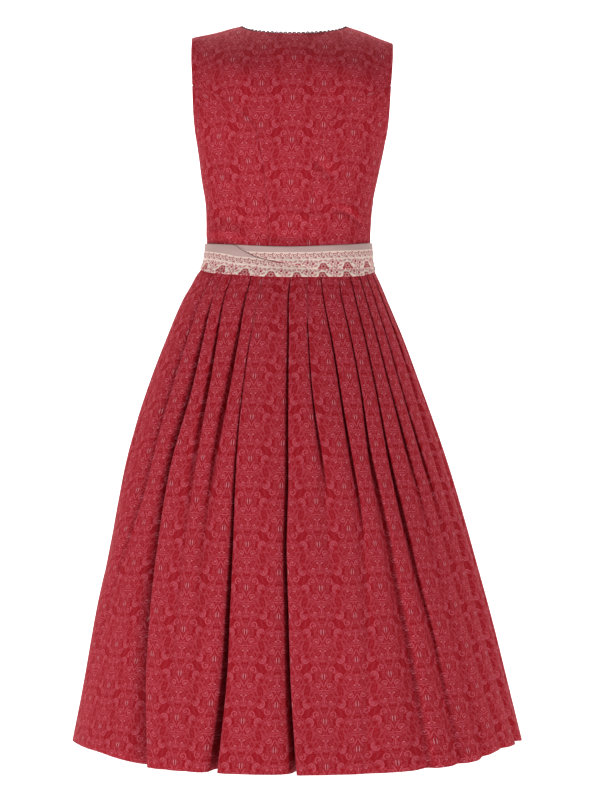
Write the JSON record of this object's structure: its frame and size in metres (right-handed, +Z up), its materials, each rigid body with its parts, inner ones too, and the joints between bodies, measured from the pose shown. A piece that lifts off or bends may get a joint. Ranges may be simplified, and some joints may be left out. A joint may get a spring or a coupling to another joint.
{
  "type": "dirndl dress",
  "caption": "Sleeveless midi folk dress in worn form: fitted bodice with back princess seams, knife-pleated full skirt, picot neck edging and a border-print waist sash.",
  "frame": {"origin": "midway between the neck ends of the two shoulder seams, where the wearer's shoulders hold the dress", "axes": "+Z up, +X to the wearer's right, +Y to the wearer's front"},
  "size_m": [0.7208, 0.554, 1.1468],
  "materials": {
    "dress_cloth": "printed cotton, matt with a slight sheen",
    "edging": "crocheted picot cord",
    "sash_cloth": "printed cotton, matt"
  },
  "bodies": {
    "root": {"bodice_back_centre": "dress_cloth", "bodice_back_side_left": "dress_cloth", "bodice_back_side_right": "dress_cloth", "bodice_front_left": "dress_cloth", "bodice_front_right": "dress_cloth", "neck_trim": "edging", "skirt_back": "dress_cloth", "skirt_front": "dress_cloth", "sash_back_left": "sash_cloth", "sash_back_right": "sash_cloth", "sash_front": "sash_cloth", "sash_knot": "sash_cloth", "sash_end_left": "sash_cloth", "sash_end_right": "sash_cloth"}
  },
  "joints": []
}
